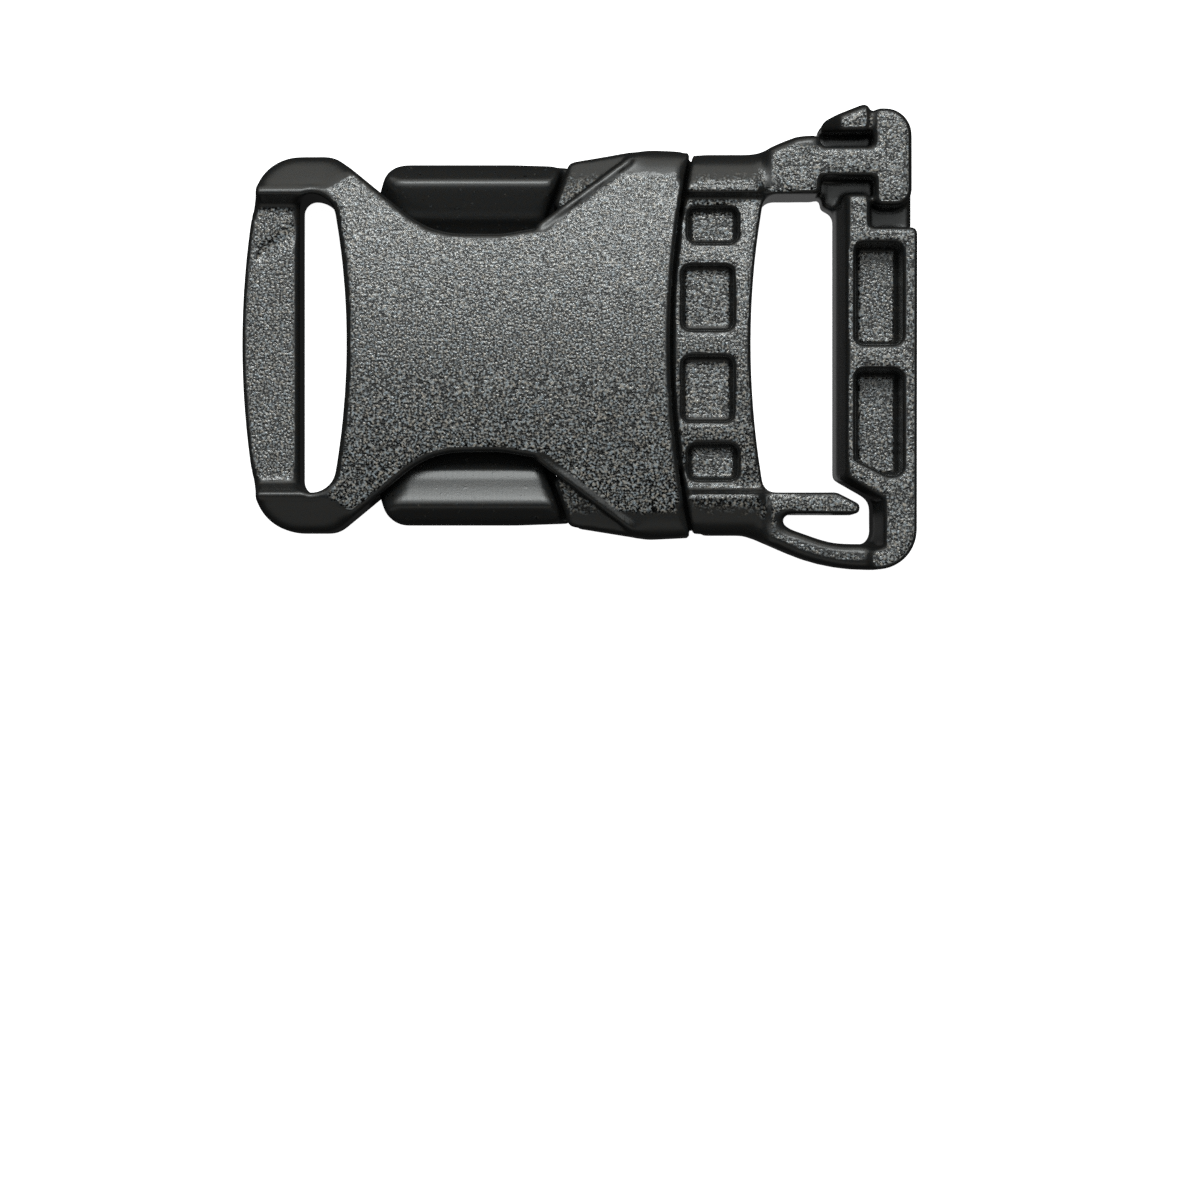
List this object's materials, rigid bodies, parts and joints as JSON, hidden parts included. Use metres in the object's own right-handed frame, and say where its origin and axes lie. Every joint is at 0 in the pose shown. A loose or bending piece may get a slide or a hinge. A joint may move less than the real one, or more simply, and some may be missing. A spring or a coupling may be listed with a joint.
{
  "type": "side release buckle",
  "caption": "Fastened side release buckle for flat webbing: hollow receiver with fixed bar, plug with side prongs and a split bar that hooks over a T-shaped head.",
  "frame": {"origin": "middle of the bounding box, on the flat back that the buckle lies on", "axes": "+X along the buckle from the receiver's webbing bar to the split bar, +Y across it towards the T-shaped head, +Z out of the front face"},
  "size_m": [0.063, 0.0434, 0.01],
  "materials": {
    "receiver_plastic": "spark-eroded grain on the front face, satin on the sides and lobes",
    "plug_plastic": "spark-eroded grain on the front faces, satin on the finger pads and sides"
  },
  "bodies": {
    "root": {"receiver": "receiver_plastic", "plug": "plug_plastic"}
  },
  "joints": []
}
